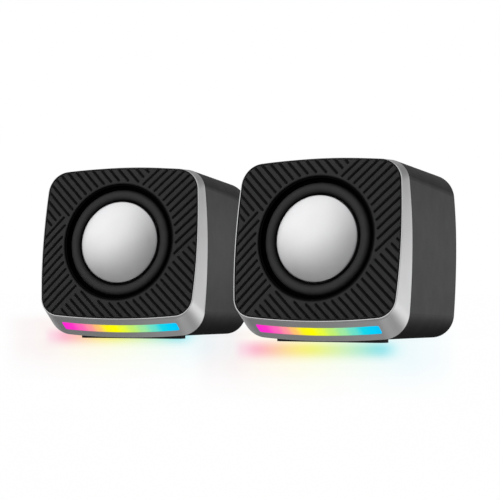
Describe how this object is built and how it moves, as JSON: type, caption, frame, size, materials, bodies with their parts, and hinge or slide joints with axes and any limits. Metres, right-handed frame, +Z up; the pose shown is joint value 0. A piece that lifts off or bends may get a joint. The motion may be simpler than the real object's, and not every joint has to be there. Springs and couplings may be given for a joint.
{
  "type": "desktop speakers",
  "caption": "Pair of cube-like desktop speakers with ribbed black fronts, round metallic drivers, silver bezels and a lit colour strip at the bottom.",
  "frame": {"origin": "centre of the right cabinet's front foot, on its bottom face, at desk level", "axes": "+Z up, +X to the right seen from the front, +Y to the back; the right cabinet faces -Y"},
  "size_m": [0.1745, 0.2437, 0.0732],
  "materials": {
    "dark_shell": "fine matt moulding",
    "silver_bezel": "satin silver paint on a moulded frame",
    "black_panel": "satin black ribbed moulding",
    "light_strip": "frosted translucent strip, lit in a rainbow",
    "circuit_board": "solder mask",
    "led_package": "clear resin",
    "driver_frame": "black",
    "foam_gasket": "closed-cell foam",
    "rubber_surround": "matt butyl",
    "silver_dome": "fine satin anodised",
    "paper_cone": "pressed paper",
    "copper_coil": "enamelled copper winding",
    "spider_cloth": "phenolic-treated cloth",
    "magnet_plates": "zinc plated",
    "ferrite": "ground ferrite",
    "terminal_board": "phenolic paper",
    "wire_insulation": "thin wire insulation",
    "zinc_screws": "zinc plated",
    "black_screws": "black oxide",
    "rubber_feet": "matt",
    "heatsink": "extruded",
    "capacitor_can": "sleeved can",
    "control_body": "moulded",
    "control_shaft": "turned",
    "knob_plastic": "fluted, satin",
    "button_plastic": "satin",
    "grommet_rubber": "moulded",
    "cable_jacket": "flexible jacket",
    "plug_metal": "nickel plated",
    "plug_grip": "moulded grip",
    "plug_pin": "gold coloured plating",
    "tie_fabric": "hook and loop"
  },
  "bodies": {
    "right_cabinet": {"amp_board": "circuit_board", "amp_heatsink": "heatsink", "audio_plug_body": "plug_grip", "audio_plug_pin": "plug_pin", "cable_tie": "tie_fabric", "capacitors": "capacitor_can", "light_switch": "control_body", "link_cable": "cable_jacket", "main_cable": "cable_jacket", "right_bezel": "silver_bezel", "right_body_shell": "dark_shell", "right_casing_screws": "black_screws", "right_driver_basket": "driver_frame", "right_driver_gasket": "foam_gasket", "right_driver_screws": "zinc_screws", "right_driver_terminal": "terminal_board", "right_driver_wires": "wire_insulation", "right_feet": "rubber_feet", "right_front_panel": "black_panel", "right_grommets": "grommet_rubber", "right_led_board": "circuit_board", "right_leds": "led_package", "right_light_bar": "light_strip", "right_magnet": "ferrite", "right_spider": "spider_cloth", "right_surround": "rubber_surround", "right_top_plate": "magnet_plates", "right_yoke": "magnet_plates", "usb_plug_body": "plug_grip", "usb_plug_shell": "plug_metal", "volume_pot": "control_body"},
    "left_cabinet": {"left_bezel": "silver_bezel", "left_body_shell": "dark_shell", "left_casing_screws": "black_screws", "left_driver_basket": "driver_frame", "left_driver_gasket": "foam_gasket", "left_driver_screws": "zinc_screws", "left_driver_terminal": "terminal_board", "left_driver_wires": "wire_insulation", "left_feet": "rubber_feet", "left_front_panel": "black_panel", "left_grommet": "grommet_rubber", "left_led_board": "circuit_board", "left_leds": "led_package", "left_light_bar": "light_strip", "left_magnet": "ferrite", "left_spider": "spider_cloth", "left_surround": "rubber_surround", "left_top_plate": "magnet_plates", "left_yoke": "magnet_plates"},
    "right_diaphragm": {"right_dome": "silver_dome", "right_cone": "paper_cone", "right_voice_coil": "copper_coil"},
    "left_diaphragm": {"left_dome": "silver_dome", "left_cone": "paper_cone", "left_voice_coil": "copper_coil"},
    "volume_control": {"volume_shaft": "control_shaft", "volume_knob": "knob_plastic"},
    "light_control": {"light_button": "button_plastic"}
  },
  "joints": [
    {"name": "left_speaker_spacing", "type": "slide", "parent": "right_cabinet", "child": "left_cabinet", "axis": [-1, 0, 0], "range_m": [0, 0.06], "deforming": ["link_cable"]},
    {"name": "right_cone_travel", "type": "slide", "parent": "right_cabinet", "child": "right_diaphragm", "axis": [0, -0.9902, 0.1395], "range_m": [-0.0015, 0.0015], "stiffness_N_per_m": 300, "deforming": ["right_surround", "right_spider"]},
    {"name": "left_cone_travel", "type": "slide", "parent": "left_cabinet", "child": "left_diaphragm", "axis": [0.1323, -0.9813, 0.1395], "range_m": [-0.0015, 0.0015], "stiffness_N_per_m": 300, "deforming": ["left_surround", "left_spider"]},
    {"name": "volume_turn", "type": "hinge", "parent": "right_cabinet", "child": "volume_control", "pos_m": [-0.009, 0.058, 0.0431], "axis": [0, -1, 0], "range_deg": [0, 300]},
    {"name": "light_button_press", "type": "slide", "parent": "right_cabinet", "child": "light_control", "axis": [0, -1, 0], "range_m": [0, 0.0005]}
  ]
}
